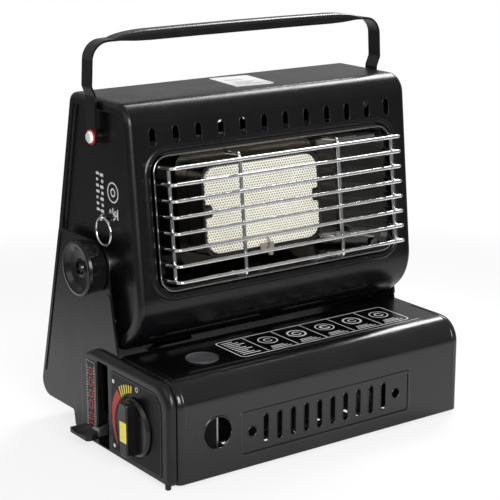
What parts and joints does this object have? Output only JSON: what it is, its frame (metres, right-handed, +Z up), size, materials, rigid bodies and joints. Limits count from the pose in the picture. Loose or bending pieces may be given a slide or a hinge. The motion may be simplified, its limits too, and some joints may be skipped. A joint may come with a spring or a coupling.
{
  "type": "portable gas heater",
  "caption": "Portable radiant gas heater: a tilting head with a ceramic burner, dish and wire guard between two side plates, a lidded gas bay, end panel with a gas knob, and a bail handle",
  "frame": {"origin": "on the ground under the middle of the bounding box", "axes": "+Z up, the front faces -Y, +X to the heater's right as seen from the front"},
  "size_m": [0.286, 0.1851, 0.299],
  "materials": {
    "black_enamel": "satin black baked enamel on sheet steel",
    "zinc_steel": "zinc-plated sheet steel",
    "polished_steel": "polished stainless sheet",
    "chromed_wire": "bright chrome-plated wire",
    "black_plastic": "black moulded plastic with a fine grain",
    "black_rubber": "black rubber",
    "cast_zinc": "die-cast zinc alloy",
    "brass": "turned brass",
    "bright_steel": "plated steel",
    "cream_ceramic": "perforated cream ceramic tile",
    "white_label": "white film label, blank",
    "printed_scale": "printed dark film",
    "yellow_plastic": "yellow insert",
    "red_plastic": "red fibre and plastic"
  },
  "bodies": {
    "base": {"base_tray": "black_enamel", "side_plate_left": "black_enamel", "side_plate_right": "black_enamel", "deck_plate": "zinc_steel", "front_feet": "black_rubber", "rear_feet": "black_plastic", "control_panel": "black_plastic", "scale_plate": "printed_scale", "name_strip": "printed_scale", "regulator_body": "cast_zinc", "igniter": "black_plastic", "gas_hose": "black_rubber", "cartridge_guide": "zinc_steel", "hinge_pins": "bright_steel", "base_screws": "bright_steel"},
    "lid": {"lid": "black_enamel", "lid_plug": "black_plastic"},
    "lever": {"lock_lever": "zinc_steel", "lever_tab": "black_plastic"},
    "cradle": {"cartridge_cradle": "zinc_steel"},
    "gas_knob": {"control_knob": "black_plastic", "knob_pointer": "yellow_plastic", "valve_spindle": "brass"},
    "head": {"head_front": "black_enamel", "head_side_left": "black_enamel", "head_side_right": "black_enamel", "head_rear": "black_enamel", "reflector": "polished_steel", "window_trim": "polished_steel", "burner_box": "bright_steel", "ceramic_plaque": "cream_ceramic", "plaque_clips": "chromed_wire", "mixing_tube": "bright_steel", "injector_nozzle": "brass", "spark_electrode": "bright_steel", "thermocouple": "bright_steel", "wire_guard": "chromed_wire", "heat_shield": "zinc_steel", "pivot_bushes": "bright_steel", "top_label": "white_label", "head_screws": "bright_steel", "stem_collar": "black_plastic", "handle_rivets": "bright_steel", "rivet_washers": "red_plastic"},
    "knob_left": {"tilt_knob_left": "black_plastic", "tilt_stud_left": "bright_steel"},
    "knob_right": {"tilt_knob_right": "black_plastic", "tilt_stud_right": "bright_steel"},
    "handle": {"bail_handle": "black_enamel"},
    "needle": {"pull_stem": "chromed_wire"},
    "ring": {"pull_ring": "chromed_wire"}
  },
  "joints": [
    {"name": "head_tilt", "type": "hinge", "parent": "base", "child": "head", "pos_m": [0, 0.00885, 0.136], "axis": [-1, 0, 0], "range_deg": [0, 30]},
    {"name": "lid_hinge", "type": "hinge", "parent": "base", "child": "lid", "pos_m": [0, -0.02165, 0.0688], "axis": [-1, 0, 0], "range_deg": [0, 40]},
    {"name": "lever_lift", "type": "hinge", "parent": "base", "child": "lever", "pos_m": [-0.1236, 0.04735, 0.038], "axis": [-1, 0, 0], "range_deg": [0, 44]},
    {"name": "cradle_slide", "type": "slide", "parent": "base", "child": "cradle", "axis": [1, 0, 0], "range_m": [0, 0.005]},
    {"name": "knob_turn", "type": "hinge", "parent": "base", "child": "gas_knob", "pos_m": [-0.132, -0.04915, 0.0338], "axis": [-1, 0, 0], "range_deg": [0, 140]},
    {"name": "knob_left_turn", "type": "hinge", "parent": "head", "child": "knob_left", "pos_m": [-0.1355, 0.00885, 0.136], "axis": [-1, 0, 0], "range_deg": [0, 180]},
    {"name": "knob_right_turn", "type": "hinge", "parent": "head", "child": "knob_right", "pos_m": [0.1355, 0.00885, 0.136], "axis": [1, 0, 0], "range_deg": [0, 180]},
    {"name": "handle_swing", "type": "hinge", "parent": "head", "child": "handle", "pos_m": [0, 0.01205, 0.227], "axis": [-1, 0, 0], "range_deg": [-75, 100]},
    {"name": "needle_pull", "type": "slide", "parent": "head", "child": "needle", "axis": [-1, 0, 0], "range_m": [0, 0.006], "stiffness_N_per_m": 300, "springref_m": -0.002},
    {"name": "ring_swing", "type": "hinge", "parent": "needle", "child": "ring", "pos_m": [-0.1284, -0.00615, 0.1735], "axis": [0, 1, 0], "range_deg": [-5, 60]}
  ],
  "couplings": [
    {"joint": "cradle_slide", "follows": "lever_lift", "m_per_rad": 0.0065113}
  ]
}
